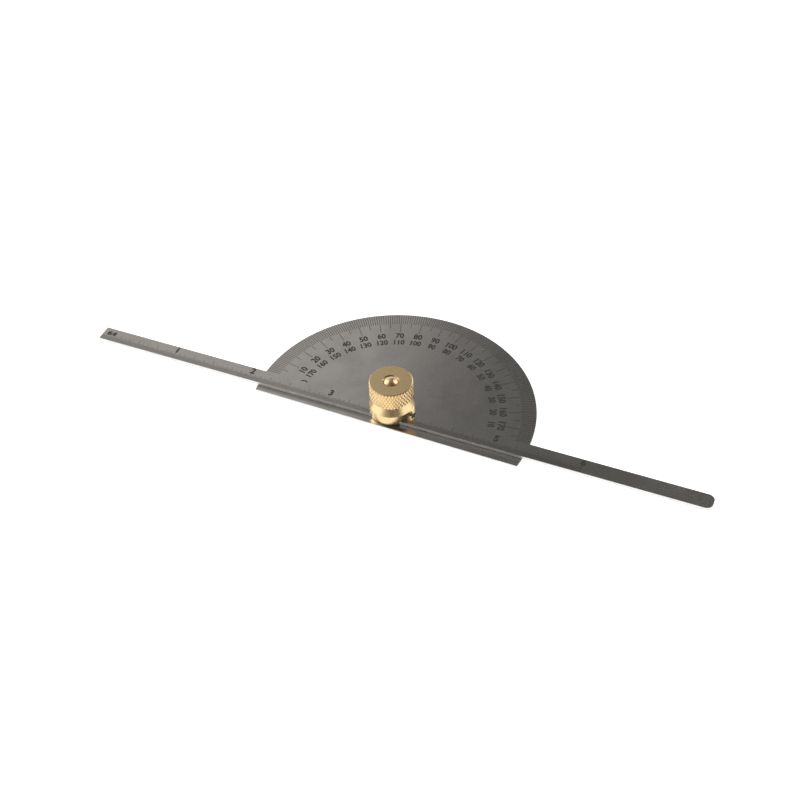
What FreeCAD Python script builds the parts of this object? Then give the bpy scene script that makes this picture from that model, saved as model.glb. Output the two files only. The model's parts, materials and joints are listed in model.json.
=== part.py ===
"""D-head protractor with a sliding depth rule, held by a brass clamp.

Millimetres, +Z up.  The origin lies on the pivot axis at the underside of the stud's
head, the lowest point of the tool.  +X runs along the straight reference edge of the
head, and the degree scale is on the +Y side of the pivot.

Five pieces: the flat head, the stud that passes up through it, the rule that lies in
the stud's notch, the collar that straddles the rule, and the knurled nut that presses
the collar down.
"""
import FreeCAD, Part
import math
import os

import Sketcher

PARTS_FOLDER = "parts"

SIZES = {
    # protractor head
    "head_radius": 41.275,
    "edge_offset": 7.1,
    "plate_thickness": 0.8,
    "steel_edge_break": 0.1,
    # depth rule
    "rule_length": 189.0,
    "rule_width": 5.1,
    "rule_thickness": 1.2,
    "rule_zero_reach": 94.9,
    "rule_offset": 2.25,
    "rule_corner_radius": 2.0,
    "rule_angle": 0.78,
    # clamp stud
    "stud_head_radius": 5.5,
    "stud_head_thickness": 0.8,
    "shank_radius": 3.5,
    "stem_radius": 2.0,
    "dome_height": 0.7,
    "dome_stand": 0.5,
    # slotted collar
    "collar_radius": 6.5,
    "collar_side_height": 3.15,
    "shoulder_radius": 4.9,
    "shoulder_height": 2.95,
    "collar_gap": 0.1,
    "brass_edge_break": 0.15,
    # knurled nut
    "knurl_radius": 6.35,
    "knurl_height": 5.3,
    "knurl_bevel": 0.35,
    "bore_bevel": 0.35,
    # diamond knurl
    "knurl_count": 41,
    "knurl_helix": 30,
    "knurl_depth": 0.3,
    "knurl_stock": 0.1,
    "knurl_overrun": 1.0,
    # fits
    "running_clearance": 0.05,
    "slide_clearance": 0.1,
}

# Heights above the origin, from the lowest piece up.
PLATE_BOTTOM = "sizes.stud_head_thickness"
PLATE_TOP = f"({PLATE_BOTTOM} + sizes.plate_thickness)"
SHANK_TOP = f"({PLATE_TOP} + sizes.rule_thickness + sizes.slide_clearance)"
COLLAR_BOTTOM = f"({PLATE_TOP} + sizes.collar_gap)"
COLLAR_HEIGHT = "(sizes.collar_side_height + sizes.shoulder_height)"
NUT_BOTTOM = f"({COLLAR_BOTTOM} + {COLLAR_HEIGHT})"

# The rule's two long edges, measured across it from the pivot.
RULE_BACK = "(sizes.rule_width / 2 - sizes.rule_offset)"
RULE_FRONT = "(-sizes.rule_width / 2 - sizes.rule_offset)"

# Sketcher's own numbers for the origin point and the two axes.
ORIGIN = (-1, 1)
HORIZONTAL_AXIS = -1
VERTICAL_AXIS = -2
START, END, CENTRE = 1, 2, 3


def make_size_sheet(doc):
    """Put every driving dimension in the spreadsheet, one named cell each."""
    sheet = doc.addObject("Spreadsheet::Sheet", "sizes")
    for row, (name, value) in enumerate(SIZES.items(), start=1):
        sheet.set(f"A{row}", name)
        sheet.set(f"B{row}", str(value))
        sheet.setAlias(f"B{row}", name)
    doc.recompute()
    return sheet


def make_body(doc, label, height="0"):
    """Start a body whose own zero lies at the given height."""
    body = doc.addObject("PartDesign::Body", label)
    body.Label = label
    body.setExpression("Placement.Base.z", height)
    return body


def turn_with_rule(body):
    """Turn a body about the pivot to where the rule points."""
    body.setExpression("Placement.Rotation.Angle", "sizes.rule_angle * 1 deg")


def make_sketch(body, name, plane_role):
    """Start a sketch on one of the body's own origin planes."""
    sketch = body.newObject("Sketcher::SketchObject", name)
    plane = next(f for f in body.Origin.OriginFeatures if f.Role == plane_role)
    sketch.AttachmentSupport = [(plane, "")]
    sketch.MapMode = "FlatFace"
    return sketch


def constrain(sketch, kind, *ends, size):
    """Add a dimension that follows an expression of the size sheet."""
    value = sketch.evalExpression(size)
    index = sketch.addConstraint(Sketcher.Constraint(kind, *ends, value))
    sketch.setExpression(f"Constraints[{index}]", size)


def pin_corner(sketch, geometry, across, up):
    """Hold a segment's start point at two expressions, or on an axis where one is 0."""
    if across == "0":
        sketch.addConstraint(
            Sketcher.Constraint("PointOnObject", geometry, START, VERTICAL_AXIS))
    else:
        constrain(sketch, "DistanceX", *ORIGIN, geometry, START, size=across)
    if up == "0":
        sketch.addConstraint(
            Sketcher.Constraint("PointOnObject", geometry, START, HORIZONTAL_AXIS))
    else:
        constrain(sketch, "DistanceY", *ORIGIN, geometry, START, size=up)


def dome_arc(edge, top):
    """Arc from the edge of a dome up to its top, centred on the vertical axis."""
    height = top.y - edge.y
    radius = (edge.x ** 2 + height ** 2) / (2 * height)
    centre = FreeCAD.Vector(0, top.y - radius, 0)
    circle = Part.Circle(centre, FreeCAD.Vector(0, 0, 1), radius)
    return Part.ArcOfCircle(circle, math.asin((edge.y - centre.y) / radius), math.pi / 2)


def draw_outline(sketch, corners, dome=None):
    """Draw a closed outline through corners given as pairs of expressions.

    The segment that starts at corner number `dome` is an arc about the vertical axis.
    """
    points = [
        FreeCAD.Vector(sketch.evalExpression(across), sketch.evalExpression(up), 0)
        for across, up in corners
    ]
    for number, start in enumerate(points):
        end = points[(number + 1) % len(points)]
        curve = dome_arc(start, end) if number == dome else Part.LineSegment(start, end)
        sketch.addGeometry(curve, False)
    for number, (across, up) in enumerate(corners):
        following = (number + 1) % len(corners)
        sketch.addConstraint(
            Sketcher.Constraint("Coincident", number, END, following, START))
        pin_corner(sketch, number, across, up)
    if dome is not None:
        sketch.addConstraint(
            Sketcher.Constraint("PointOnObject", dome, CENTRE, VERTICAL_AXIS))


def pad(body, sketch, name, length):
    """Raise a sketch by a length."""
    feature = body.newObject("PartDesign::Pad", name)
    feature.Profile = sketch
    feature.setExpression("Length", length)
    sketch.Visibility = False
    return feature


def revolve(body, name, corners, dome=None):
    """Turn a half outline, given as (radius, height) expressions, about the Z axis."""
    sketch = make_sketch(body, f"{name}_outline", "XZ_Plane")
    draw_outline(sketch, corners, dome)
    feature = body.newObject("PartDesign::Revolution", name)
    feature.Profile = sketch
    feature.ReferenceAxis = (sketch, ["V_Axis"])
    feature.Angle = 360
    return feature


def mill_across(body, name, corners, length):
    """Cut a groove along X, both ways from the YZ plane, with (across, height) corners."""
    body.Document.recompute()
    before = body.Shape.Volume
    sketch = make_sketch(body, f"{name}_outline", "YZ_Plane")
    draw_outline(sketch, corners)
    feature = body.newObject("PartDesign::Pocket", name)
    feature.Profile = sketch
    feature.SideType = "Symmetric"
    feature.setExpression("Length", length)
    body.Document.recompute()
    if not feature.Shape.Volume < before:
        raise RuntimeError(f"{body.Label}: {name} removes no material")
    return feature


def edge_names(shape, wanted):
    """Names of the shape's edges for which wanted(edge) holds."""
    return [f"Edge{n}" for n, edge in enumerate(shape.Edges, start=1) if wanted(edge)]


def lies_flat(edge):
    """True for an edge that stays at one height."""
    return edge.BoundBox.ZLength < 1e-6


def break_edges(body, name, base, wanted, size):
    """Take the sharpness off the edges of a feature."""
    body.Document.recompute()
    feature = body.newObject("PartDesign::Chamfer", name)
    feature.Base = (base, edge_names(base.Shape, wanted))
    feature.setExpression("Size", size)
    return feature


def make_protractor_head(doc):
    """Flat plate: a circular segment with the stud's hole at the centre of its arc."""
    body = make_body(doc, "protractor_head", PLATE_BOTTOM)
    sketch = make_sketch(body, "head_outline", "XY_Plane")
    radius = sketch.evalExpression("sizes.head_radius")
    offset = sketch.evalExpression("sizes.edge_offset")
    hole_size = "sizes.shank_radius + sizes.running_clearance"
    dip = math.asin(offset / radius)
    half_edge = radius * math.cos(dip)
    up = FreeCAD.Vector(0, 0, 1)
    rim = Part.Circle(FreeCAD.Vector(0, 0, 0), up, radius)
    arc, edge, hole = 0, 1, 2
    sketch.addGeometry(Part.ArcOfCircle(rim, -dip, math.pi + dip), False)
    sketch.addGeometry(Part.LineSegment(FreeCAD.Vector(-half_edge, -offset, 0),
                                        FreeCAD.Vector(half_edge, -offset, 0)), False)
    sketch.addGeometry(
        Part.Circle(FreeCAD.Vector(0, 0, 0), up, sketch.evalExpression(hole_size)), False)
    for relation in (
        ("Coincident", arc, CENTRE, *ORIGIN),
        ("Coincident", hole, CENTRE, *ORIGIN),
        ("Coincident", arc, END, edge, START),
        ("Coincident", edge, END, arc, START),
        ("Horizontal", edge),
    ):
        sketch.addConstraint(Sketcher.Constraint(*relation))
    constrain(sketch, "Radius", arc, size="sizes.head_radius")
    constrain(sketch, "Radius", hole, size=hole_size)
    constrain(sketch, "DistanceY", edge, START, *ORIGIN, size="sizes.edge_offset")
    plate = pad(body, sketch, "plate", "sizes.plate_thickness")

    def on_the_outline(line):
        return lies_flat(line) and line.BoundBox.XLength > radius

    break_edges(body, "outline_break", plate, on_the_outline, "sizes.steel_edge_break")
    return body


def make_rule(doc):
    """Thin steel strip: square at its zero end, rounded at the other."""
    body = make_body(doc, "rule", PLATE_TOP)
    turn_with_rule(body)
    sketch = make_sketch(body, "rule_outline", "XY_Plane")
    far_end = "(sizes.rule_length - sizes.rule_zero_reach)"
    draw_outline(sketch, [
        ("-sizes.rule_zero_reach", RULE_FRONT),
        (far_end, RULE_FRONT),
        (far_end, RULE_BACK),
        ("-sizes.rule_zero_reach", RULE_BACK),
    ])
    strip = pad(body, sketch, "strip", "sizes.rule_thickness")
    doc.recompute()
    rounding = body.newObject("PartDesign::Fillet", "rounded_end")
    rounding.Base = (strip, edge_names(
        strip.Shape, lambda edge: not lies_flat(edge) and edge.BoundBox.XMin > 0))
    rounding.setExpression("Radius", "sizes.rule_corner_radius")
    break_edges(body, "strip_break", rounding, lies_flat, "sizes.steel_edge_break")
    return body


def make_clamp_stud(doc):
    """Turned stud: flat head, shank for the head's hole, and stem with a domed end.

    Above the plate the front of the shank is milled away, which leaves a notch for the
    rule and a half-round key behind it.
    """
    body = make_body(doc, "clamp_stud")
    turn_with_rule(body)
    dome_top = f"{NUT_BOTTOM} + sizes.knurl_height + sizes.dome_stand"
    revolve(body, "stud_turning", [
        ("0", "0"),
        ("sizes.stud_head_radius - sizes.brass_edge_break", "0"),
        ("sizes.stud_head_radius", "sizes.brass_edge_break"),
        ("sizes.stud_head_radius", PLATE_BOTTOM),
        ("sizes.shank_radius", PLATE_BOTTOM),
        ("sizes.shank_radius", SHANK_TOP),
        ("sizes.stem_radius", SHANK_TOP),
        ("sizes.stem_radius", f"{dome_top} - sizes.dome_height"),
        ("0", dome_top),
    ], dome=7)
    key_face = f"{RULE_BACK} + sizes.slide_clearance"
    mill_across(body, "rule_notch", [
        ("-2 * sizes.shank_radius", PLATE_TOP),
        (key_face, PLATE_TOP),
        (key_face, SHANK_TOP),
        ("-2 * sizes.shank_radius", SHANK_TOP),
    ], "4 * sizes.shank_radius")
    return body


def make_slotted_collar(doc):
    """Turned ring, tapered above its straight side, slotted below to straddle the rule."""
    body = make_body(doc, "slotted_collar", COLLAR_BOTTOM)
    turn_with_rule(body)
    bore = "sizes.stem_radius + sizes.running_clearance"
    recess = "sizes.shank_radius + sizes.slide_clearance"
    recess_top = f"{SHANK_TOP} + sizes.slide_clearance - {COLLAR_BOTTOM}"
    rim = "sizes.collar_radius - sizes.brass_edge_break"
    revolve(body, "collar_turning", [
        (recess, "0"),
        (rim, "0"),
        ("sizes.collar_radius", "sizes.brass_edge_break"),
        ("sizes.collar_radius", "sizes.collar_side_height"),
        ("sizes.shoulder_radius", COLLAR_HEIGHT),
        (bore, COLLAR_HEIGHT),
        (bore, recess_top),
        (recess, recess_top),
    ])
    front_wall = f"{RULE_FRONT} - sizes.slide_clearance"
    back_wall = f"{RULE_BACK} + sizes.slide_clearance"
    below = "-sizes.collar_side_height"
    pressing_face = "sizes.rule_thickness - sizes.collar_gap"
    mill_across(body, "rule_slot", [
        (front_wall, below),
        (back_wall, below),
        (back_wall, pressing_face),
        (front_wall, pressing_face),
    ], "4 * sizes.collar_radius")
    return body


def make_nut_turning(doc):
    """The nut before knurling: a bevelled round with stock left on for the knurl."""
    body = make_body(doc, "nut_turning", NUT_BOTTOM)
    bore = "sizes.stem_radius + sizes.running_clearance"
    stock_radius = "sizes.knurl_radius + sizes.knurl_stock"
    top = "sizes.knurl_height"
    revolve(body, "nut_profile", [
        (bore, "0"),
        ("sizes.knurl_radius - sizes.brass_edge_break", "0"),
        (stock_radius, "sizes.brass_edge_break + sizes.knurl_stock"),
        (stock_radius, f"{top} - sizes.knurl_bevel - sizes.knurl_stock"),
        ("sizes.knurl_radius - sizes.knurl_bevel", top),
        (f"{bore} + sizes.bore_bevel", top),
        (bore, f"{top} - sizes.bore_bevel"),
    ])
    return body


def knurled_core(crest, root, count, helix_degrees, low, high):
    """Closed solid with a diamond knurl all round, reaching past both given heights.

    Two sets of grooves, one of each hand, cross at the corners of the diamonds.  Every
    diamond is a flat-sided pyramid: its corners lie at the root radius and its point at
    the crest radius.
    """
    half_steps = 2 * count
    half_width = math.pi * crest / count
    half_height = half_width / math.tan(math.radians(helix_degrees))
    rows = math.ceil((high - low) / half_height) + 1
    base = (low + high - rows * half_height) / 2

    def corner(step, row):
        radius = crest if (step + row) % 2 else root
        turn = 2 * math.pi * step / half_steps
        return (radius * math.cos(turn), radius * math.sin(turn), base + row * half_height)

    def index(step, row):
        return row * half_steps + step % half_steps

    points = [corner(step, row) for row in range(rows + 1) for step in range(half_steps)]
    centre_below, centre_above = len(points), len(points) + 1
    points += [(0, 0, base), (0, 0, base + rows * half_height)]
    faces = []
    for step in range(half_steps):
        for row in range(rows):
            a, b = index(step, row), index(step + 1, row)
            c, d = index(step + 1, row + 1), index(step, row + 1)
            if (step + row) % 2:
                faces += [(a, b, d), (b, c, d)]
            else:
                faces += [(a, b, c), (a, c, d)]
        faces.append((centre_below, index(step + 1, 0), index(step, 0)))
        faces.append((centre_above, index(step, rows), index(step + 1, rows)))
    surface = Part.Shape()
    surface.makeShapeFromMesh((points, faces), 1e-4)
    return Part.Solid(Part.Shell(surface.Faces))


def make_knurl_cutter(doc, sheet):
    """Ring that leaves the knurled surface when it is cut from the nut."""
    core = doc.addObject("Part::Feature", "knurled_core")
    core.Shape = knurled_core(sheet.knurl_radius, sheet.knurl_radius - sheet.knurl_depth,
                              round(sheet.knurl_count), sheet.knurl_helix,
                              -sheet.knurl_overrun, sheet.knurl_height + sheet.knurl_overrun)
    ring = doc.addObject("Part::Cylinder", "cutter_ring")
    ring.setExpression("Radius", "2 * sizes.knurl_radius")
    ring.setExpression("Height", "sizes.knurl_height + 2 * sizes.knurl_overrun")
    ring.setExpression("Placement.Base.z", "-sizes.knurl_overrun")
    cutter = doc.addObject("Part::Cut", "knurl_cutter")
    cutter.Base = ring
    cutter.Tool = core
    return cutter


def make_knurled_nut(doc, sheet):
    """Round nut, diamond-knurled over its whole height."""
    turning = make_nut_turning(doc)
    cutter = make_knurl_cutter(doc, sheet)
    cutter.setExpression("Placement.Base.z", NUT_BOTTOM)
    nut = doc.addObject("Part::Cut", "knurled_nut")
    nut.Label = "knurled_nut"
    nut.Base = turning
    nut.Tool = cutter
    return nut


def check(doc, sub_parts):
    """Stop if any feature failed or any sub-part is not one sound solid."""
    for feature in doc.Objects:
        if "Invalid" in feature.State or "Error" in feature.State:
            raise RuntimeError(f"{feature.Label} failed: {feature.State}")
    for part in sub_parts:
        if part.Shape.isNull() or not part.Shape.isValid():
            raise RuntimeError(f"{part.Label} is not a valid shape")
        if len(part.Shape.Solids) != 1:
            raise RuntimeError(f"{part.Label} has {len(part.Shape.Solids)} solids")


def main():
    """Build the tool and write one STEP file for each piece."""
    doc = FreeCAD.newDocument("protractor")
    sheet = make_size_sheet(doc)
    sub_parts = [
        make_protractor_head(doc),
        make_rule(doc),
        make_clamp_stud(doc),
        make_slotted_collar(doc),
        make_knurled_nut(doc, sheet),
    ]
    doc.recompute()
    check(doc, sub_parts)
    os.makedirs(PARTS_FOLDER, exist_ok=True)
    for part in sub_parts:
        part.Shape.exportStep(os.path.join(PARTS_FOLDER, f"{part.Label}.step"))
        print(f"{part.Label}: {part.Shape.Volume:.1f} mm3, {len(part.Shape.Faces)} faces")


main()
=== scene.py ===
"""Looks of a bevel protractor: an etched half-round head, a sliding depth rule and a knurled brass clamp.

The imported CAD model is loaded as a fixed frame. The steel head and the rule are modelled again with
their etched graduations cut into them, and every piece gets its procedural finish.
"""

import json
import logging
import math
from dataclasses import dataclass, field
from enum import Enum
from typing import Any, Callable, Union

import bpy
from mathutils import Matrix, Quaternion, Vector


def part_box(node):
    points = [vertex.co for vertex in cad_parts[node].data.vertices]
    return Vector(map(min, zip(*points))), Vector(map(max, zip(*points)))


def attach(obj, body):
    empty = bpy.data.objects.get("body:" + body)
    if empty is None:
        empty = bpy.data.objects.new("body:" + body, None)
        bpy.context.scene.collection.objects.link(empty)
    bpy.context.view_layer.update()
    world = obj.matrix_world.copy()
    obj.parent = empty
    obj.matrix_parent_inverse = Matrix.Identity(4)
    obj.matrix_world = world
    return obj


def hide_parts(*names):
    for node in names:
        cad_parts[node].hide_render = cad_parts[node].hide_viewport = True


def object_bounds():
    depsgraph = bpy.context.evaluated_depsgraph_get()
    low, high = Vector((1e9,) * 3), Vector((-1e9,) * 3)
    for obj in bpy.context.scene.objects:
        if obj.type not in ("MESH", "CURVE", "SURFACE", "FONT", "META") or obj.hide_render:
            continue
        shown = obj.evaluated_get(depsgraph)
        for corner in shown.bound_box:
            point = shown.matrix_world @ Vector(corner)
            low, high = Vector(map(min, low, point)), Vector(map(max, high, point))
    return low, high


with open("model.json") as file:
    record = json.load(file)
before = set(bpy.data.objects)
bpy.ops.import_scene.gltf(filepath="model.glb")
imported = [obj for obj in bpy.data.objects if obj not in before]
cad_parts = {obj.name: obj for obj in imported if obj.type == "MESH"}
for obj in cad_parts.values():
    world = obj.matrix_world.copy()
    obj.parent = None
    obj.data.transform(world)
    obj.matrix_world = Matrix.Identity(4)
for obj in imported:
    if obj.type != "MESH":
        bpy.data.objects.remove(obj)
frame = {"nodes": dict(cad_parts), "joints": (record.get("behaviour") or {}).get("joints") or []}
cad_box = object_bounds()

MM = 0.001
INCH = 25.4 * MM
LOG = logging.getLogger("bevel_protractor")

Colour = tuple[float, float, float]
Number = Union["Value", float]
WHITE: Colour = (1.0, 1.0, 1.0)

# Where a Mix node keeps its sockets for colours.
MIX_FACTOR, MIX_FIRST, MIX_SECOND, MIX_RESULT = 0, 6, 7, 2

# Turns between faces: above the first they get a chamfer, below the second they are shaded as one.
SHARP_TURN = math.radians(40)
SMOOTH_TURN = math.radians(20)

# A sheet's second material is the one on its upright faces.
SIDE_FINISH = 1


class Slot(Enum):
    """The record's material slots."""

    SATIN_STEEL = "satin_steel"
    RULE_STEEL = "rule_steel"
    TURNED_BRASS = "turned_brass"


class Body(Enum):
    """The bodies that move on their own."""

    HEAD = "head"
    STUD = "stud"
    RULE = "rule"
    COLLAR = "collar"
    NUT = "nut"


# ---------------------------------------------------------------- shader graphs


@dataclass(frozen=True)
class Value:
    """A number in a shader that takes part in plain arithmetic."""

    graph: "Graph"
    socket: bpy.types.NodeSocket

    def maths(self, operation: str, *terms: Number) -> "Value":
        """Adds a Math node.

        Args:
            operation: The node's operation.
            terms: Its inputs, in order.

        Returns:
            The node's result.
        """
        node = self.graph.node("ShaderNodeMath", {"operation": operation}, dict(enumerate(terms)))
        return Value(self.graph, node.outputs[0])

    def __add__(self, other: Number) -> "Value":
        """Sum."""
        return self.maths("ADD", self, other)

    __radd__ = __add__

    def __sub__(self, other: Number) -> "Value":
        """Difference."""
        return self.maths("SUBTRACT", self, other)

    def __rsub__(self, other: Number) -> "Value":
        """Difference, the other way round."""
        return self.maths("SUBTRACT", other, self)

    def __mul__(self, other: Number) -> "Value":
        """Product."""
        return self.maths("MULTIPLY", self, other)

    __rmul__ = __mul__

    def root(self) -> "Value":
        """Square root."""
        return self.maths("SQRT", self)

    def size(self) -> "Value":
        """Value without its sign."""
        return self.maths("ABSOLUTE", self)

    def least(self, other: Number) -> "Value":
        """The smaller of two."""
        return self.maths("MINIMUM", self, other)

    def ramp(self, start: float, end: float, low: float = 0.0, high: float = 1.0) -> "Value":
        """Smooth step from low, at start, to high, at end.

        Args:
            start: Where the step begins.
            end: Where it ends, above or below start.
            low: The value before it.
            high: The value after it.

        Returns:
            The stepped value.
        """
        if end < start:
            start, end, low, high = end, start, high, low
        ends = {"From Min": start, "From Max": end, "To Min": low, "To Max": high}
        settings = {"interpolation_type": "SMOOTHSTEP"}
        node = self.graph.node("ShaderNodeMapRange", settings, {"Value": self, **ends})
        return Value(self.graph, node.outputs["Result"])


class Graph:
    """One node tree, filled through a single node-making method."""

    def __init__(self, owner: Union[bpy.types.Material, bpy.types.World]) -> None:
        """Empties the owner's node tree."""
        owner.use_nodes = True
        self.tree = owner.node_tree
        self.tree.nodes.clear()

    def node(self, kind: str, settings: dict | None = None, inputs: dict | None = None) -> bpy.types.Node:
        """Adds one node.

        Args:
            kind: The node's type.
            settings: Its own settings, which are set first.
            inputs: What its sockets hold, by name or number: a value or a link.

        Returns:
            The node.
        """
        made = self.tree.nodes.new(kind)
        for name, value in (settings or {}).items():
            setattr(made, name, value)
        for key, value in (inputs or {}).items():
            self.feed(made.inputs[key], value)
        return made

    def feed(self, socket: bpy.types.NodeSocket, value: Any) -> None:
        """Links a value to a socket, or sets the socket to it."""
        if isinstance(value, Value):
            value = value.socket
        if isinstance(value, bpy.types.NodeSocket):
            self.tree.links.new(value, socket)
        elif isinstance(value, tuple) and len(value) == 3 and socket.type == "RGBA":
            socket.default_value = (*value, 1.0)
        else:
            socket.default_value = value

    def place(self) -> tuple[Value, Value, Value]:
        """The shaded point's x, y and z in the object's own metres."""
        coordinates = self.node("ShaderNodeTexCoord")
        parts = self.node("ShaderNodeSeparateXYZ", inputs={0: coordinates.outputs["Object"]})
        x, y, z = (Value(self, socket) for socket in parts.outputs)
        return x, y, z

    def vector(self, x: Number, y: Number, z: Number) -> bpy.types.NodeSocket:
        """Joins three numbers into a vector."""
        return self.node("ShaderNodeCombineXYZ", inputs={0: x, 1: y, 2: z}).outputs[0]

    def noise(self, where: bpy.types.NodeSocket, detail: float = 2.0, rough: float = 0.5) -> Value:
        """Noise from 0 to 1 whose grains are one unit of the given vector wide."""
        inputs = {"Vector": where, "Scale": 1.0, "Detail": detail, "Roughness": rough}
        return Value(self, self.node("ShaderNodeTexNoise", inputs=inputs).outputs[0])

    def mix(self, factor: Number, first: Any, second: Any) -> bpy.types.NodeSocket:
        """Blends two colours."""
        inputs = {MIX_FACTOR: factor, MIX_FIRST: first, MIX_SECOND: second}
        return self.node("ShaderNodeMix", {"data_type": "RGBA"}, inputs).outputs[MIX_RESULT]

    def bump(self, height: Value, distance: float, strength: float = 1.0) -> bpy.types.NodeSocket:
        """A normal that is tilted by a height pattern.

        Args:
            height: The pattern, from 0 to 1.
            distance: Its depth in metres.
            strength: How much of it shows.

        Returns:
            The normal.
        """
        inputs = {"Height": height, "Distance": distance, "Strength": strength}
        return self.node("ShaderNodeBump", inputs=inputs).outputs[0]

    def surface(self, inputs: dict[str, Any]) -> None:
        """Ends a material's tree in one Principled shader."""
        shader = self.node("ShaderNodeBsdfPrincipled", inputs=inputs)
        self.node("ShaderNodeOutputMaterial", inputs={"Surface": shader.outputs[0]})


# ---------------------------------------------------------------- finishes


@dataclass(frozen=True)
class BrushedSteel:
    """Satin steel with a fine lengthwise grain, handling marks and edges that are rubbed bright."""

    tone: Colour = (0.56, 0.53, 0.495)
    stain: Colour = (0.42, 0.40, 0.37)
    roughness: float = 0.15
    grain_width: float = 0.05 * MM
    grain_length: float = 6.0 * MM
    cloud_size: float = 9.0 * MM
    pit_size: float = 0.35 * MM
    grain_angle: float = 0.0
    wear_width: float = 0.25 * MM
    grain_depth: float = 0.0007 * MM

    def edge_distance(self, x: Value, y: Value) -> Value:
        """Metres from the nearest rubbed edge.

        Args:
            x: The point's x.
            y: The point's y.

        Returns:
            The distance.
        """
        raise NotImplementedError

    def material(self, name: str) -> bpy.types.Material:
        """The finish as a new material."""
        made = bpy.data.materials.new(name)
        graph = Graph(made)
        x, y, z = graph.place()
        along = x * math.cos(self.grain_angle) + y * math.sin(self.grain_angle)
        across = y * math.cos(self.grain_angle) - x * math.sin(self.grain_angle)
        length, width = 1 / self.grain_length, 1 / self.grain_width
        grain = graph.noise(graph.vector(along * length, across * width, z * width), detail=3.0)
        fine = 1 / self.cloud_size
        cloud = graph.noise(graph.vector(x * fine, y * fine, z * fine), detail=4.0, rough=0.6)
        pit_scale = 1 / self.pit_size
        pits = graph.noise(graph.vector(x * pit_scale, y * pit_scale, z * pit_scale), detail=1.0)
        pits = pits.ramp(0.70, 0.78)
        wear = self.edge_distance(x, y).ramp(self.wear_width, 0.0) * grain.ramp(0.35, 0.6)
        grime_and_groove_darkening = (cloud.ramp(0.45, 0.75) * 0.35 + grain.ramp(0.62, 0.3) * 0.25 + pits * 0.5) * (1 - wear)
        rough = cloud.ramp(0.3, 0.7, self.roughness - 0.02, self.roughness + 0.04)
        rough = rough + grain * 0.04 + pits * 0.15 - wear * 0.05
        graph.surface({
            "Base Color": graph.mix(grime_and_groove_darkening, self.tone, self.stain),
            "Metallic": 1.0,
            "Roughness": rough,
            "Normal": graph.bump(grain - pits * 0.6, self.grain_depth),
        })
        return made


@dataclass(frozen=True)
class GroundSide:
    """The narrow sides of sheet steel: coarse marks across the thickness and a dull surface, with a tone
    paler than the steel's that is painted sheen, so that the upright faces look lit.
    """

    # Much paler than the steel of the top faces: painted sheen on the upright faces.
    tone: Colour = (0.85, 0.84, 0.82)
    stain: Colour = (0.60, 0.58, 0.55)
    roughness: float = 0.50
    mark_width: float = 0.12 * MM
    mark_depth: float = 0.010 * MM

    def material(self, name: str) -> bpy.types.Material:
        """The finish as a new material."""
        made = bpy.data.materials.new(name)
        graph = Graph(made)
        x, y, z = graph.place()
        scale = 1 / self.mark_width
        marks = graph.noise(graph.vector(x * scale, y * scale, z * scale * 0.15), detail=3.0)
        shade = graph.noise(graph.vector(x * scale * 0.05, y * scale * 0.05, z * scale * 0.05), detail=2.0)
        graph.surface({
            "Base Color": graph.mix(marks.ramp(0.45, 0.75) * shade.ramp(0.3, 0.7), self.tone, self.stain),
            "Metallic": 1.0,
            "Roughness": marks.ramp(0.3, 0.7, self.roughness - 0.08, self.roughness + 0.08),
            "Normal": graph.bump(marks, self.mark_depth),
        })
        return made


@dataclass(frozen=True)
class HeadSteel(BrushedSteel):
    """The head's steel: its arc and its reference edge are rubbed bright."""

    arc_radius: float = 41.275 * MM
    edge_offset: float = 7.1 * MM

    def edge_distance(self, x: Value, y: Value) -> Value:
        """Metres from the arc or the reference edge, whichever is nearer."""
        to_arc = self.arc_radius - (x * x + y * y).root()
        return to_arc.least(y + self.edge_offset)


@dataclass(frozen=True)
class RuleSteel(BrushedSteel):
    """The rule's steel, drawn along its length: both long edges are rubbed bright."""

    half_width: float = 2.55 * MM
    offset: float = -2.25 * MM

    def edge_distance(self, x: Value, y: Value) -> Value:
        """Metres from the nearer long edge."""
        across = y * math.cos(self.grain_angle) - x * math.sin(self.grain_angle)
        return self.half_width - (across - self.offset).size()


@dataclass(frozen=True)
class EtchedGrey:
    """The dark grey of the etched marks, paler where it is worn."""

    tone: Colour = (0.055, 0.053, 0.050)
    worn: Colour = (0.14, 0.135, 0.13)
    roughness: float = 0.80
    patch_size: float = 0.5 * MM
    patch_depth: float = 0.004 * MM

    def material(self, name: str) -> bpy.types.Material:
        """The finish as a new material."""
        made = bpy.data.materials.new(name)
        graph = Graph(made)
        x, y, z = graph.place()
        scale = 1 / self.patch_size
        patches = graph.noise(graph.vector(x * scale, y * scale, z * scale), detail=3.0)
        worn = patches.ramp(0.55, 0.8)
        graph.surface({
            "Base Color": graph.mix(worn, self.tone, self.worn),
            "Roughness": patches.ramp(0.3, 0.8, self.roughness, self.roughness - 0.2),
            "Normal": graph.bump(patches, self.patch_depth),
        })
        return made


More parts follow.
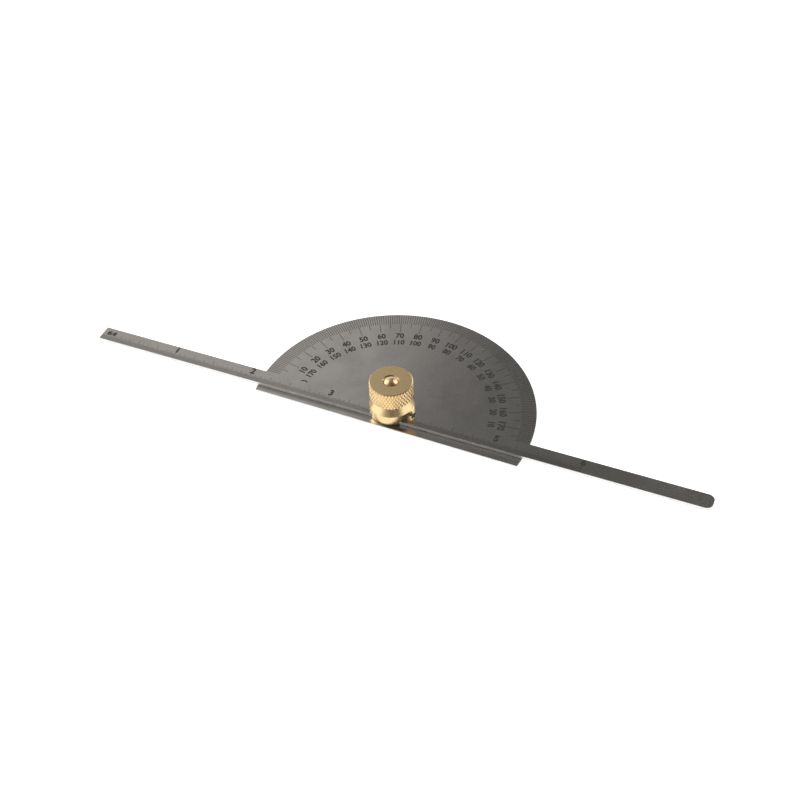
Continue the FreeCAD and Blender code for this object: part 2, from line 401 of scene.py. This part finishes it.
@dataclass(frozen=True)
class TurnedBrass:
    """Bare brass off the lathe: rings from the tool, light tarnish and handling marks."""

    tone: Colour = (0.88, 0.66, 0.36)
    tarnish: Colour = (0.70, 0.50, 0.24)
    roughness: float = 0.26
    ring_width: float = 0.07 * MM
    cloud_size: float = 4.0 * MM
    ring_depth: float = 0.0015 * MM

    def grooves(self, radius: Value, z: Value) -> Number:
        """Share of darkening at a point, from 0 to 1, by its distance from the axis and its height."""
        return 0.0

    def material(self, name: str) -> bpy.types.Material:
        """The finish as a new material."""
        made = bpy.data.materials.new(name)
        graph = Graph(made)
        x, y, z = graph.place()
        radius = (x * x + y * y).root()
        ring = 1 / self.ring_width
        rings = graph.noise(graph.vector(radius * ring, 0.0, z * ring), detail=2.0)
        fine = 1 / self.cloud_size
        cloud = graph.noise(graph.vector(x * fine, y * fine, z * fine), detail=4.0, rough=0.6)
        # Darker and rougher towards the bottom of the knurl grooves; nothing on plain turned brass.
        grime_and_groove_darkening = self.grooves(radius, z)
        tarnish = (cloud.ramp(0.42, 0.75) * 0.45 + rings.ramp(0.5, 0.8) * 0.15 + grime_and_groove_darkening).least(1.0)
        rough = cloud.ramp(0.3, 0.7, self.roughness - 0.04, self.roughness + 0.08) + rings * 0.05
        graph.surface({
            "Base Color": graph.mix(tarnish, self.tone, self.tarnish),
            "Metallic": 1.0,
            "Roughness": rough + grime_and_groove_darkening * 0.2,
            "Normal": graph.bump(rings, self.ring_depth),
        })
        return made


@dataclass(frozen=True)
class KnurledBrass(TurnedBrass):
    """Turned brass that is darker and rougher towards the bottom of its knurling."""

    crest_radius: float = 6.35 * MM
    groove_depth: float = 0.30 * MM
    band_top: float = 13.1 * MM

    def grooves(self, radius: Value, z: Value) -> Number:
        """Share of darkening, which grows towards the bottom of the grooves."""
        floor = self.crest_radius - self.groove_depth
        deep = radius.ramp(self.crest_radius - 0.1 * MM, floor)
        below_top = z.ramp(self.band_top - 0.3 * MM, self.band_top - 0.4 * MM)
        outer = radius.ramp(floor - 0.3 * MM, floor - 0.1 * MM)
        return deep * below_top * outer * 0.5


@dataclass(frozen=True)
class WhiteTable:
    """A white table. The camera and the metal see it a little brighter than it is lit, shadows kept."""

    tone: Colour = (0.80, 0.80, 0.80)
    lift: float = 0.92

    def material(self, name: str) -> bpy.types.Material:
        """The finish as a new material. It shows nothing from below, so an underside can be viewed."""
        made = bpy.data.materials.new(name)
        graph = Graph(made)
        rays = graph.node("ShaderNodeLightPath")
        seen = Value(graph, rays.outputs["Is Camera Ray"])
        seen = seen + Value(graph, rays.outputs["Is Glossy Ray"])
        seen = (seen + Value(graph, rays.outputs["Is Transmission Ray"])).least(1.0)
        paint = graph.node("ShaderNodeBsdfDiffuse", inputs={"Color": self.tone})
        glow = graph.node("ShaderNodeEmission", inputs={"Color": WHITE, "Strength": seen * self.lift})
        lit = graph.node("ShaderNodeAddShader", inputs={0: paint.outputs[0], 1: glow.outputs[0]})
        clear = graph.node("ShaderNodeBsdfTransparent")
        back = graph.node("ShaderNodeNewGeometry").outputs["Backfacing"]
        shown = {0: back, 1: lit.outputs[0], 2: clear.outputs[0]}
        either = graph.node("ShaderNodeMixShader", inputs=shown)
        graph.node("ShaderNodeOutputMaterial", inputs={"Surface": either.outputs[0]})
        return made


# ---------------------------------------------------------------- modelling helpers


def deselect() -> None:
    """Leaves nothing selected, so that the next operator acts on its own piece only."""
    bpy.ops.object.select_all(action="DESELECT")


def choose(piece: bpy.types.Object) -> None:
    """Makes one object the selected and active one."""
    deselect()
    piece.select_set(True)
    bpy.context.view_layer.objects.active = piece


def settle(piece: bpy.types.Object) -> None:
    """Moves an object's place, turn and scale into its mesh."""
    choose(piece)
    bpy.ops.object.transform_apply(location=True, rotation=True, scale=True)


def pick_faces(piece: bpy.types.Object, wanted: Callable[[bpy.types.MeshPolygon], bool]) -> None:
    """Opens a piece in edit mode with only the wanted faces selected."""
    choose(piece)
    for part in (piece.data.vertices, piece.data.edges, piece.data.polygons):
        part.foreach_set("select", [False] * len(part))
    for face in piece.data.polygons:
        face.select = wanted(face)
    bpy.ops.object.mode_set(mode="EDIT")
    bpy.ops.mesh.select_mode(type="FACE")


def pick_edges(piece: bpy.types.Object, wanted: Callable[[Vector, Vector], bool]) -> None:
    """Opens a piece in edit mode with only the edges selected whose two ends are wanted."""
    choose(piece)
    for part in (piece.data.vertices, piece.data.edges, piece.data.polygons):
        part.foreach_set("select", [False] * len(part))
    corners = [vertex.co for vertex in piece.data.vertices]
    for edge in piece.data.edges:
        first, second = edge.vertices
        edge.select = wanted(corners[first], corners[second])
    bpy.ops.object.mode_set(mode="EDIT")
    bpy.ops.mesh.select_mode(type="EDGE")


def close_edit() -> None:
    """Returns to object mode."""
    bpy.ops.object.mode_set(mode="OBJECT")


def break_sharp_edges(piece: bpy.types.Object, size: float) -> None:
    """Puts a small chamfer on every edge that turns by more than SHARP_TURN."""
    pick_faces(piece, lambda face: False)
    bpy.ops.mesh.select_mode(type="EDGE")
    bpy.ops.mesh.edges_select_sharp(sharpness=SHARP_TURN)
    bpy.ops.mesh.bevel(offset=size, segments=1, affect="EDGES")
    close_edit()


def cut(piece: bpy.types.Object, cutter: bpy.types.Object) -> None:
    """Takes a cutter's shape out of a piece and removes the cutter."""
    choose(piece)
    step = piece.modifiers.new("cut", "BOOLEAN")
    step.operation = "DIFFERENCE"
    step.solver = "EXACT"
    step.use_self = True
    step.material_mode = "TRANSFER"
    step.object = cutter
    bpy.ops.object.modifier_apply(modifier=step.name)
    bpy.data.objects.remove(cutter)


def finish_sides(piece: bpy.types.Object) -> None:
    """Gives a sheet's upright faces its side material."""
    for face in piece.data.polygons:
        if abs(face.normal.z) < 0.5:
            face.material_index = SIDE_FINISH


def paint(piece: bpy.types.Object, *materials: bpy.types.Material) -> None:
    """Gives a piece these materials, in this order."""
    piece.data.materials.clear()
    for material in materials:
        piece.data.materials.append(material)


# ---------------------------------------------------------------- etched marks


@dataclass
class EtchMask:
    """The lines and figures that are etched into one level face.

    Attributes:
        face: Height of the face.
        depth: How deep the acid goes.
        line_width: Width of every graduation line.
        grey: The finish that is left in the marks.
        taper: Width of a line at its bottom, against its width at the face.
        parts: The solids of all the marks so far.
        line_model: The one line that all the others are copies of.
    """

    face: float
    depth: float
    line_width: float
    grey: bpy.types.Material
    taper: float = 0.6
    parts: list[bpy.types.Object] = field(default_factory=list)
    line_model: bpy.types.Object = field(init=False)

    def __post_init__(self) -> None:
        """Models the one line that all the others are copies of, a unit long and a unit wide."""
        deselect()
        bpy.ops.mesh.primitive_cube_add(size=1, location=(0.5, 0, self.face), scale=(1, 1, 2 * self.depth))
        self.line_model = bpy.context.object
        settle(self.line_model)
        pick_faces(self.line_model, lambda face: face.normal.z < -0.5)
        bpy.ops.transform.resize(value=(1, self.taper, 1))
        close_edit()
        paint(self.line_model, self.grey)

    def line(self, start: Vector, angle: float, length: float) -> None:
        """Adds a straight line.

        Args:
            start: Where it starts, on the face.
            angle: Its direction, from +X towards +Y.
            length: How long it is.
        """
        copy = self.line_model.copy()
        copy.data = self.line_model.data.copy()
        turn = Matrix.Rotation(angle, 4, "Z")
        size = Matrix.Diagonal((length, self.line_width, 1, 1))
        copy.data.transform(Matrix.Translation((start.x, start.y, 0)) @ turn @ size)
        bpy.context.collection.objects.link(copy)
        self.parts.append(copy)

    def figure(
        self, text: str, centre: Vector, angle: float, height: float, spread: float, bold: float
    ) -> None:
        """Adds a number.

        Args:
            text: The digits.
            centre: The middle of the number, on the face.
            angle: Its turn, from upright towards the left.
            height: How tall the digits are.
            spread: How wide the digits are against the plain font.
            bold: How much the strokes are thickened, against the height.
        """
        deselect()
        bpy.ops.object.text_add(location=(0, 0, 0))
        words = bpy.context.object
        words.data.body = text
        words.data.size = 1.0
        words.data.resolution_u = 3
        words.data.offset = bold
        words.data.extrude = 1.0
        bpy.ops.object.convert(target="MESH")
        part = bpy.context.object
        corners = [vertex.co for vertex in part.data.vertices]
        low = Vector((min(corner[i] for corner in corners) for i in range(3)))
        high = Vector((max(corner[i] for corner in corners) for i in range(3)))
        scale = height / (high.y - low.y)
        size = Matrix.Diagonal((scale * spread, scale, self.depth, 1))
        middle = Matrix.Translation(-(low + high) / 2)
        turn = Matrix.Rotation(angle, 4, "Z")
        part.data.transform(Matrix.Translation((centre.x, centre.y, self.face)) @ turn @ size @ middle)
        choose(part)
        bpy.ops.object.mode_set(mode="EDIT")
        bpy.ops.mesh.select_all(action="SELECT")
        bpy.ops.mesh.remove_doubles(threshold=0.001 * MM)
        bpy.ops.mesh.normals_make_consistent(inside=False)
        close_edit()
        paint(part, self.grey)
        self.parts.append(part)

    def etch(self, piece: bpy.types.Object) -> None:
        """Cuts all the marks into a piece."""
        bpy.data.objects.remove(self.line_model)
        choose(self.parts[0])
        for part in self.parts:
            part.select_set(True)
        bpy.ops.object.join()
        cut(piece, bpy.context.object)


# ---------------------------------------------------------------- the pieces


@dataclass
class ProtractorHead:
    """The half-round steel head with its degree scale.

    The scale is read from the left, with a second row of figures that is read from the right.
    """

    low: Vector
    high: Vector
    arc_segments: int = 720
    hole_segments: int = 96
    hole_radius: float = 3.55 * MM
    edge_break: float = 0.10 * MM
    mark_depth: float = 0.03 * MM
    line_width: float = 0.19 * MM
    degree_reach: float = 37.0 * MM
    five_reach: float = 35.1 * MM
    ten_reach: float = 33.3 * MM
    outer_figures: float = 31.7 * MM
    outer_height: float = 2.25 * MM
    inner_figures: float = 28.8 * MM
    inner_height: float = 2.1 * MM
    figure_spread: float = 0.90
    figure_bold: float = 0.038

    @classmethod
    def from_frame(cls) -> "ProtractorHead":
        """The head at the size and place that the CAD gives it."""
        low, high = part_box("protractor_head")
        return cls(low, high)

    @property
    def radius(self) -> float:
        """Radius of the arc."""
        return self.high.x

    def build(self) -> list[bpy.types.Object]:
        """Models, etches and dresses the head."""
        piece = self.blank()
        steel = HeadSteel(arc_radius=self.radius, edge_offset=-self.low.y)
        paint(piece, steel.material("head_satin"), GroundSide().material("head_sides"))
        finish_sides(piece)
        self.scale_mask().etch(piece)
        choose(piece)
        bpy.ops.object.shade_smooth_by_angle(angle=SMOOTH_TURN)
        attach(piece, Body.HEAD.value)
        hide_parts("protractor_head")
        return [piece]

    def blank(self) -> bpy.types.Object:
        """The plain head: a disc cut off along its reference edge, with the pivot hole."""
        middle = (self.low.z + self.high.z) / 2
        thickness = self.high.z - self.low.z
        deselect()
        bpy.ops.mesh.primitive_cylinder_add(
            vertices=self.arc_segments, radius=self.radius, depth=thickness, location=(0, 0, middle)
        )
        piece = bpy.context.object
        piece.name = piece.data.name = "etched_head"
        settle(piece)
        bpy.ops.object.mode_set(mode="EDIT")
        bpy.ops.mesh.select_all(action="SELECT")
        edge = (0, self.low.y, 0)
        bpy.ops.mesh.bisect(plane_co=edge, plane_no=(0, -1, 0), use_fill=True, clear_outer=True)
        close_edit()
        break_sharp_edges(piece, self.edge_break)
        bpy.ops.mesh.primitive_cylinder_add(
            vertices=self.hole_segments, radius=self.hole_radius, depth=3 * thickness, location=(0, 0, middle)
        )
        drill = bpy.context.object
        settle(drill)
        cut(piece, drill)
        return piece

    def scale_mask(self) -> EtchMask:
        """A line at every degree, longer ones at fives and tens, and two rows of figures."""
        mask = EtchMask(self.high.z, self.mark_depth, self.line_width, EtchedGrey().material("head_marks"))
        for degree in range(181):
            turn = math.radians(180 - degree)
            outward = Vector((math.cos(turn), math.sin(turn), 0))
            reach = self.degree_reach
            if degree % 10 == 0:
                reach = self.ten_reach
            elif degree % 5 == 0:
                reach = self.five_reach
            mask.line(outward * reach, turn, self.radius + self.edge_break - reach)
            if degree % 10 == 0:
                upright = turn - math.pi / 2
                outer, inner = outward * self.outer_figures, outward * self.inner_figures
                look = (self.figure_spread, self.figure_bold)
                mask.figure(str(degree), outer, upright, self.outer_height, *look)
                mask.figure(str(180 - degree), inner, upright, self.inner_height, *look)
        return mask


@dataclass
class DepthRule:
    """The narrow sliding rule, graduated in sixty-fourths of an inch from its square end.

    It is modelled lengthwise along X with its pivot at the origin, then turned to where it lies.
    """

    low: Vector
    high: Vector
    angle: float
    zero_reach: float = 94.9 * MM
    length: float = 189.0 * MM
    width: float = 5.1 * MM
    offset: float = 2.25 * MM
    corner_radius: float = 2.0 * MM
    corner_segments: int = 16
    edge_break: float = 0.10 * MM
    mark_depth: float = 0.03 * MM
    line_width: float = 0.17 * MM
    inches: int = 6
    figure_height: float = 2.4 * MM
    figure_middle: float = -1.1 * MM
    figure_spread: float = 0.95
    figure_bold: float = 0.045
    fraction_height: float = 1.9 * MM
    fraction_spread: float = 1.3
    fraction_bold: float = 0.05
    fraction_place: tuple[float, float] = (2.9 * MM, -1.75 * MM)
    mark_lengths: dict[int, float] = field(default_factory=lambda: {
        64: 2.4 * MM, 32: 3.1 * MM, 16: 2.9 * MM, 8: 2.6 * MM, 4: 2.3 * MM, 2: 1.9 * MM, 1: 1.6 * MM,
    })

    @classmethod
    def from_frame(cls) -> "DepthRule":
        """The rule at the height and angle that the CAD gives it."""
        low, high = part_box("rule")
        slide = next(joint for joint in frame["joints"] if joint["name"] == "rule_slide")
        return cls(low, high, math.atan2(slide["axis"][1], slide["axis"][0]))

    def build(self) -> list[bpy.types.Object]:
        """Models, etches and dresses the rule."""
        piece = self.blank()
        steel = RuleSteel(grain_angle=self.angle, half_width=self.width / 2, offset=-self.offset)
        paint(piece, steel.material("rule_satin"), GroundSide().material("rule_sides"))
        finish_sides(piece)
        self.scale_mask().etch(piece)
        piece.data.transform(Matrix.Rotation(self.angle, 4, "Z"))
        choose(piece)
        bpy.ops.object.shade_smooth_by_angle(angle=SMOOTH_TURN)
        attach(piece, Body.RULE.value)
        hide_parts("rule")
        return [piece]

    def blank(self) -> bpy.types.Object:
        """The plain strip, square at its zero end and with round corners at the other."""
        middle = (self.length / 2 - self.zero_reach, -self.offset, (self.low.z + self.high.z) / 2)
        size = (self.length, self.width, self.high.z - self.low.z)
        deselect()
        bpy.ops.mesh.primitive_cube_add(size=1, location=middle, scale=size)
        piece = bpy.context.object
        piece.name = piece.data.name = "etched_rule"
        settle(piece)
        far = self.length - self.zero_reach - 0.01 * MM
        pick_edges(piece, lambda a, b: min(a.x, b.x) > far and abs(a.z - b.z) > size[2] / 2)
        bpy.ops.mesh.bevel(offset=self.corner_radius, segments=self.corner_segments, affect="EDGES")
        close_edit()
        break_sharp_edges(piece, self.edge_break)
        return piece

    def scale_mask(self) -> EtchMask:
        """A line at every sixty-fourth, longer ones at the larger parts, and the inch figures."""
        mask = EtchMask(self.high.z, self.mark_depth, self.line_width, EtchedGrey().material("rule_marks"))
        front = -self.offset - self.width / 2 - self.edge_break
        for step in range(1, 64 * self.inches + 1):
            share = max(part for part in self.mark_lengths if step % part == 0)
            start = Vector((step / 64 * INCH - self.zero_reach, front, 0))
            mask.line(start, math.pi / 2, self.mark_lengths[share] + self.edge_break)
        for inch in range(1, self.inches + 1):
            centre = Vector((inch * INCH - self.zero_reach, self.figure_middle, 0))
            mask.figure(str(inch), centre, 0.0, self.figure_height, self.figure_spread, self.figure_bold)
        along, across = self.fraction_place
        centre = Vector((along - self.zero_reach, across, 0))
        mask.figure("64", centre, 0.0, self.fraction_height, self.fraction_spread, self.fraction_bold)
        return mask


@dataclass
class BrassClamp:
    """The stud, the slotted collar and the knurled nut, which keep their CAD shapes."""

    nut_low: Vector
    nut_high: Vector

    @classmethod
    def from_frame(cls) -> "BrassClamp":
        """The clamp at the place that the CAD gives it."""
        return cls(*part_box("knurled_nut"))

    def build(self) -> list[bpy.types.Object]:
        """Dresses the three brass pieces."""
        nut = KnurledBrass(crest_radius=self.nut_high.x, band_top=self.nut_high.z)
        finishes = {
            "knurled_nut": nut.material("nut_brass"),
            "slotted_collar": TurnedBrass().material("collar_brass"),
            "clamp_stud": TurnedBrass().material("stud_brass"),
        }
        pieces = [frame["nodes"][name] for name in finishes]
        for piece in pieces:
            for slot in piece.material_slots:
                slot.material = finishes[piece.name]
        return pieces


# ---------------------------------------------------------------- the studio


@dataclass(frozen=True)
class Softbox:
    """A soft lamp that hangs round the table.

    Attributes:
        name: The lamp's name.
        azimuth: Its direction, in degrees from +Y towards -X.
        elevation: Its height above the horizon, in degrees.
        distance: How far away it is.
        size: Its width and height.
        radiance: How bright its face looks, where white paper is 1.
    """

    name: str
    azimuth: float
    elevation: float
    distance: float
    size: tuple[float, float]
    radiance: float

    def hang(self) -> bpy.types.Object:
        """Adds the lamp, turned to the object."""
        turn, rise = math.radians(self.azimuth), math.radians(self.elevation)
        level = math.cos(rise)
        outward = Vector((-math.sin(turn) * level, math.cos(turn) * level, math.sin(rise)))
        deselect()
        bpy.ops.object.light_add(type="AREA", location=outward * self.distance)
        lamp = bpy.context.object
        lamp.name = lamp.data.name = self.name
        lamp.data.shape = "RECTANGLE"
        lamp.data.size, lamp.data.size_y = self.size
        lamp.data.energy = self.radiance * math.pi * self.size[0] * self.size[1]
        lamp.rotation_euler = (-outward).to_track_quat("-Z", "Y").to_euler()
        return lamp


@dataclass
class Studio:
    """The white table, the lamps, the dim room and the camera.

    The long left softbox runs along Y, so its upper edge is mirrored across the head as a
    straight boundary between a light and a dark half.

    Attributes:
        table_size: The table's side.
        table_drop: How far the table lies below the object.
        room_right: Brightness of the wall on the right.
        room_left: Brightness of the wall on the left.
        horizon_sides: Brightness of the horizon at the sides and the back.
        horizon_front: Brightness of the horizon in front, behind the camera.
        wall_edges: The x of a direction where the right wall ends and where the left one begins.
        horizon_edges: The z of a direction where the wall ends and where the horizon begins.
        front_edges: How far a direction points to the front where the dark begins and is full.
        front: The direction of the front, in x and y.
        camera_place: Where the camera is.
        camera_aim: What it looks at.
        camera_roll: Its turn about its own axis, in degrees.
        camera_lens: Its focal length.
        softboxes: The lamps.
    """

    table_size: float = 4.0
    table_drop: float = 0.05 * MM
    room_right: float = 0.075
    room_left: float = 0.17
    horizon_sides: float = 1.6
    horizon_front: float = 0.2
    wall_edges: tuple[float, float] = (0.1, -0.3)
    horizon_edges: tuple[float, float] = (0.30, 0.12)
    front_edges: tuple[float, float] = (0.616, 0.866)
    front: tuple[float, float] = (0.44, -0.898)
    camera_place: Vector = field(default_factory=lambda: Vector((0.130473, -0.264937, 0.294603)))
    camera_aim: Vector = field(default_factory=lambda: Vector((0.000412, 0.004450, 0.0016)))
    camera_roll: float = -2.651
    camera_lens: float = 65.365
    softboxes: tuple[Softbox, ...] = (
        Softbox("left_softbox", 90, 40, 1.1, (3.2, 1.04), 0.39),
        Softbox("left_lamp", 82, 42, 1.0, (0.55, 0.55), 2.2),
        Softbox("right_lamp", -32, 42, 1.0, (0.55, 0.55), 2.6),
    )

    def build(self) -> None:
        """Sets up everything round the object."""
        self.lay_table()
        for softbox in self.softboxes:
            softbox.hang()
        self.light_room()
        self.place_camera()

    def lay_table(self) -> None:
        """Adds the table top, just below the object."""
        deselect()
        place = (0, 0, cad_box[0].z - self.table_drop)
        bpy.ops.mesh.primitive_plane_add(size=self.table_size, location=place)
        table = bpy.context.object
        table.name = "white_table"
        paint(table, WhiteTable().material("white_table"))

    def light_room(self) -> None:
        """Bright at the horizon but for the front, dim above it and dimmer to the right.

        The camera sees plain white.
        """
        world = bpy.data.worlds.new("room")
        bpy.context.scene.world = world
        graph = Graph(world)
        direction = graph.node("ShaderNodeTexCoord").outputs["Generated"]
        parts = graph.node("ShaderNodeSeparateXYZ", inputs={0: direction}).outputs
        side, depth, height = (Value(graph, part) for part in parts)
        wall = side.ramp(*self.wall_edges, self.room_right, self.room_left)
        low = height.ramp(*self.horizon_edges)
        towards_front = side * self.front[0] + depth * self.front[1]
        horizon = towards_front.ramp(*self.front_edges, self.horizon_sides, self.horizon_front)
        strength = wall * (1 - low) + low * horizon
        room = graph.node("ShaderNodeBackground", inputs={"Color": WHITE, "Strength": strength})
        plain = graph.node("ShaderNodeBackground", inputs={"Color": WHITE, "Strength": 1.0})
        rays = graph.node("ShaderNodeLightPath")
        shown = {0: rays.outputs["Is Camera Ray"], 1: room.outputs[0], 2: plain.outputs[0]}
        either = graph.node("ShaderNodeMixShader", inputs=shown)
        graph.node("ShaderNodeOutputWorld", inputs={"Surface": either.outputs[0]})

    def place_camera(self) -> None:
        """Adds the camera that looks down on the scale from the front right."""
        deselect()
        bpy.ops.object.camera_add(location=self.camera_place)
        camera = bpy.context.object
        aim = (self.camera_aim - self.camera_place).to_track_quat("-Z", "Y")
        roll = Quaternion((0, 0, 1), math.radians(self.camera_roll))
        camera.rotation_euler = (aim @ roll).to_euler()
        camera.data.lens = self.camera_lens
        camera.data.clip_start, camera.data.clip_end = 0.01, 20.0
        bpy.context.scene.camera = camera


def main() -> None:
    """Builds the pieces, the studio and the camera."""
    logging.basicConfig(level=logging.INFO, format="%(message)s")
    bpy.context.scene.view_settings.view_transform = "Standard"
    for sub_assembly in (ProtractorHead.from_frame(), DepthRule.from_frame(), BrassClamp.from_frame()):
        for piece in sub_assembly.build():
            name, faces = type(sub_assembly).__name__, len(piece.data.polygons)
            LOG.info("%s: %s with %d faces", name, piece.name, faces)
    Studio().build()


if __name__ == "__main__":
    main()
